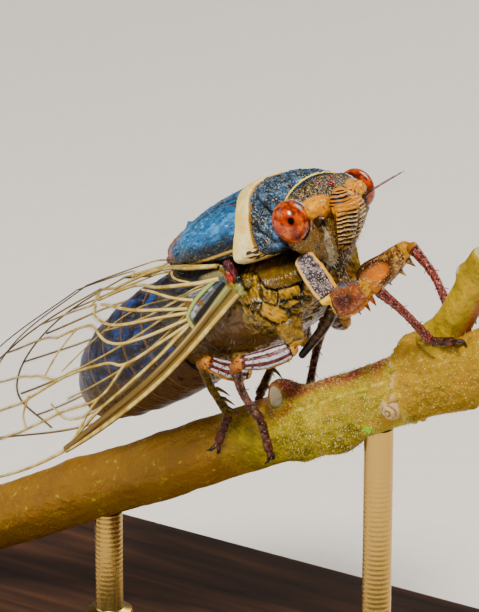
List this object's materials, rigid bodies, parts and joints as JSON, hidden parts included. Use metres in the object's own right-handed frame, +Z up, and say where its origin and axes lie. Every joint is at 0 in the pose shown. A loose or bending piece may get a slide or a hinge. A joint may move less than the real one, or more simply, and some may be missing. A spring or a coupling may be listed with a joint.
{
  "type": "cicada",
  "caption": "Life-size still model of a cicada with roofed clear wings and ribbed face, gripping a cut twig on rods over a small flat base.",
  "frame": {"origin": "middle of the display base's underside, on the surface that it rests on", "axes": "+Z up, +X along the base towards the end that the insect's head faces, +Y to the insect's left"},
  "size_m": [0.046, 0.026, 0.0329],
  "materials": {
    "eye": "glossy orange-red compound eye",
    "head_shell": "blue-black insect shell mottled cream and orange",
    "face_shell": "orange ribbed insect shell with dark grooves",
    "back_shell": "blue-black insect shell with a satin sheen",
    "collar_shell": "cream insect shell",
    "side_shell": "olive-gold insect shell plates with dark seams",
    "belly_shell": "dark brown banded insect shell",
    "leg_shell": "wine-red and brown insect shell",
    "wing": "clear membrane with tan veins",
    "twig": "green twig bark with pale dots",
    "dark_wood": "dark stained wood, satin",
    "brass": "polished brass rod"
  },
  "bodies": {
    "root": {"head": "head_shell", "face": "face_shell", "rostrum": "leg_shell", "eye_left": "eye", "eye_right": "eye", "antenna_left": "leg_shell", "antenna_right": "leg_shell", "pronotum": "back_shell", "pronotal_collar": "collar_shell", "mesonotum": "back_shell", "prothorax": "side_shell", "thorax": "side_shell", "abdomen": "belly_shell", "forewing_left": "wing", "forewing_right": "wing", "hindwing_left": "wing", "hindwing_right": "wing", "leg_front_left_coxa": "leg_shell", "leg_front_left_femur": "leg_shell", "leg_front_left_tibia": "leg_shell", "leg_front_left_tarsus": "leg_shell", "leg_front_right_coxa": "leg_shell", "leg_front_right_femur": "leg_shell", "leg_front_right_tibia": "leg_shell", "leg_front_right_tarsus": "leg_shell", "leg_mid_left_coxa": "leg_shell", "leg_mid_left_femur": "leg_shell", "leg_mid_left_tibia": "leg_shell", "leg_mid_left_tarsus": "leg_shell", "leg_mid_right_coxa": "leg_shell", "leg_mid_right_femur": "leg_shell", "leg_mid_right_tibia": "leg_shell", "leg_mid_right_tarsus": "leg_shell", "leg_hind_left_coxa": "leg_shell", "leg_hind_left_femur": "leg_shell", "leg_hind_left_tibia": "leg_shell", "leg_hind_left_tarsus": "leg_shell", "leg_hind_right_coxa": "leg_shell", "leg_hind_right_femur": "leg_shell", "leg_hind_right_tibia": "leg_shell", "leg_hind_right_tarsus": "leg_shell", "perch_stem": "twig", "perch_side_shoot": "twig", "stand_base": "dark_wood", "stand_rod_front": "brass", "stand_rod_rear": "brass"}
  },
  "joints": []
}
